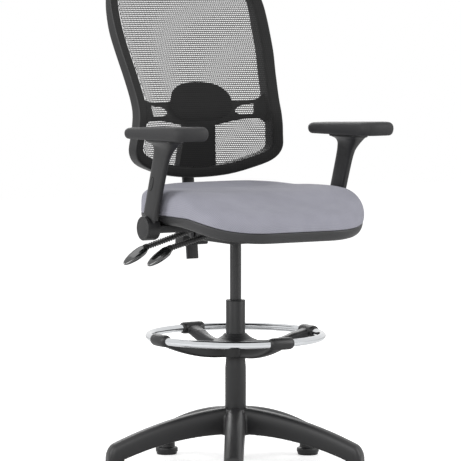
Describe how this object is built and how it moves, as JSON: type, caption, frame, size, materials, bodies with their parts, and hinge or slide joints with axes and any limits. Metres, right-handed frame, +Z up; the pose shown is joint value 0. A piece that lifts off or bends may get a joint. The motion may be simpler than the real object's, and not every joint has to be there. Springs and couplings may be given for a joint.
{
  "type": "drafting chair",
  "caption": "Tall swivel drafting chair with a foot ring on the column, a star base on glides, an upholstered seat, a mesh back with lumbar support, and height-adjustable arms.",
  "frame": {"origin": "on the floor under the middle of the base, on the column's axis", "axes": "+Z up along the column, -Y the way the sitter faces, +X to the sitter's left"},
  "size_m": [0.6605, 0.6762, 1.268],
  "materials": {
    "nylon": "satin",
    "polypropylene": "matte",
    "black_steel": "satin",
    "bright_steel": "satin",
    "chrome_plate": "polished",
    "soft_grip": "matte",
    "gloss_plastic": "gloss",
    "soft_pad": "matte",
    "plywood": "matte",
    "woven_fabric": "matte",
    "mesh_fabric": "matte"
  },
  "bodies": {
    "base": {"base_star": "nylon", "glide_1": "nylon", "glide_2": "nylon", "glide_3": "nylon", "glide_4": "nylon", "glide_5": "nylon", "column_tube": "nylon", "column_bush": "polypropylene", "thrust_bearing": "bright_steel"},
    "foot_ring": {"foot_ring": "chrome_plate", "ring_spider": "nylon"},
    "ring_knob": {"ring_knob": "nylon"},
    "piston": {"piston_rod": "bright_steel", "retaining_clip": "bright_steel"},
    "seat": {"gas_cylinder": "black_steel", "taper_socket": "black_steel", "seat_shell": "polypropylene", "seat_board": "plywood", "seat_cushion": "woven_fabric", "mechanism_tray": "black_steel", "lever_pin": "bright_steel", "rake_shaft": "bright_steel", "rake_spring": "bright_steel", "seat_bolt_1": "bright_steel", "seat_bolt_2": "bright_steel", "seat_bolt_3": "bright_steel", "seat_bolt_4": "bright_steel", "arm_bracket_left": "black_steel", "arm_bracket_right": "black_steel", "arm_pivot_left": "nylon", "arm_pivot_right": "nylon"},
    "gas_button": {"gas_button": "bright_steel"},
    "lift_lever": {"lift_lever_rod": "bright_steel", "lift_lever_sleeve": "soft_grip", "lift_lever_grip": "gloss_plastic"},
    "rake_lever": {"rake_lever_rod": "bright_steel", "rake_lever_sleeve": "soft_grip", "rake_lever_grip": "gloss_plastic"},
    "back_carrier": {"back_carrier": "black_steel", "bar_housing": "polypropylene"},
    "back_knob": {"back_knob": "nylon"},
    "back": {"back_frame": "polypropylene", "back_bar": "black_steel", "bar_cover": "polypropylene", "back_mesh": "mesh_fabric"},
    "lumbar": {"lumbar_pad": "polypropylene"},
    "arm_right_fold": {"arm_post_right": "nylon"},
    "arm_right_height": {"arm_sleeve_right": "nylon", "arm_plate_right": "nylon", "arm_pad_right": "soft_pad"},
    "arm_right_button": {"arm_button_right": "gloss_plastic"},
    "arm_left_fold": {"arm_post_left": "nylon"},
    "arm_left_height": {"arm_sleeve_left": "nylon", "arm_plate_left": "nylon", "arm_pad_left": "soft_pad"},
    "arm_left_button": {"arm_button_left": "gloss_plastic"}
  },
  "joints": [
    {"name": "foot_ring_height", "type": "slide", "parent": "base", "child": "foot_ring", "axis": [0, 0, 1], "range_m": [0, 0.05]},
    {"name": "ring_knob_turn", "type": "hinge", "parent": "foot_ring", "child": "ring_knob", "pos_m": [0.0357, 0.0357, 0.307], "axis": [0.7071, 0.7071, 0], "range_deg": [0, 270]},
    {"name": "seat_swivel", "type": "hinge", "parent": "base", "child": "piston", "pos_m": [0, 0, 0.0935], "axis": [0, 0, 1], "continuous": true},
    {"name": "seat_lift", "type": "slide", "parent": "piston", "child": "seat", "axis": [0, 0, 1], "range_m": [-0.1, 0.12]},
    {"name": "gas_button_press", "type": "slide", "parent": "seat", "child": "gas_button", "axis": [0, 0, -1], "range_m": [0, 0.005], "stiffness_N_per_m": 300},
    {"name": "lift_lever_pull", "type": "hinge", "parent": "seat", "child": "lift_lever", "pos_m": [-0.052, -0.04, 0.618], "axis": [0, 1, 0], "range_deg": [0, 5], "stiffness_Nm_per_rad": 1},
    {"name": "rake_lever_pull", "type": "hinge", "parent": "seat", "child": "rake_lever", "pos_m": [-0.052, 0.047, 0.618], "axis": [0, 1, 0], "range_deg": [0, 8]},
    {"name": "back_rake", "type": "hinge", "parent": "seat", "child": "back_carrier", "pos_m": [0, 0.1, 0.602], "axis": [-1, 0, 0], "range_deg": [-5, 12]},
    {"name": "back_knob_turn", "type": "hinge", "parent": "back_carrier", "child": "back_knob", "pos_m": [0, 0.247, 0.59375], "axis": [0, 1, 0], "range_deg": [0, 270]},
    {"name": "back_height", "type": "slide", "parent": "back_carrier", "child": "back", "axis": [0, 0.1097, 0.994], "range_m": [0, 0.04]},
    {"name": "lumbar_height", "type": "slide", "parent": "back", "child": "lumbar", "axis": [0, 0.3007, 0.9537], "range_m": [-0.003, 0.012]},
    {"name": "arm_right_fold", "type": "hinge", "parent": "seat", "child": "arm_right_fold", "pos_m": [-0.2723, -0.03, 0.634], "axis": [-1, 0, 0], "range_deg": [0, 90]},
    {"name": "arm_right_height", "type": "slide", "parent": "arm_right_fold", "child": "arm_right_height", "axis": [0, -0.3387, 0.9409], "range_m": [0, 0.06]},
    {"name": "arm_right_button_press", "type": "slide", "parent": "arm_right_height", "child": "arm_right_button", "axis": [1, 0, 0], "range_m": [0, 0.0015], "stiffness_N_per_m": 200},
    {"name": "arm_left_fold", "type": "hinge", "parent": "seat", "child": "arm_left_fold", "pos_m": [0.2723, -0.03, 0.634], "axis": [-1, 0, 0], "range_deg": [0, 90]},
    {"name": "arm_left_height", "type": "slide", "parent": "arm_left_fold", "child": "arm_left_height", "axis": [0, -0.3387, 0.9409], "range_m": [0, 0.06]},
    {"name": "arm_left_button_press", "type": "slide", "parent": "arm_left_height", "child": "arm_left_button", "axis": [-1, 0, 0], "range_m": [0, 0.0015], "stiffness_N_per_m": 200}
  ],
  "couplings": [
    {"joint": "gas_button_press", "follows": "lift_lever_pull", "m_per_rad": 0.055}
  ]
}
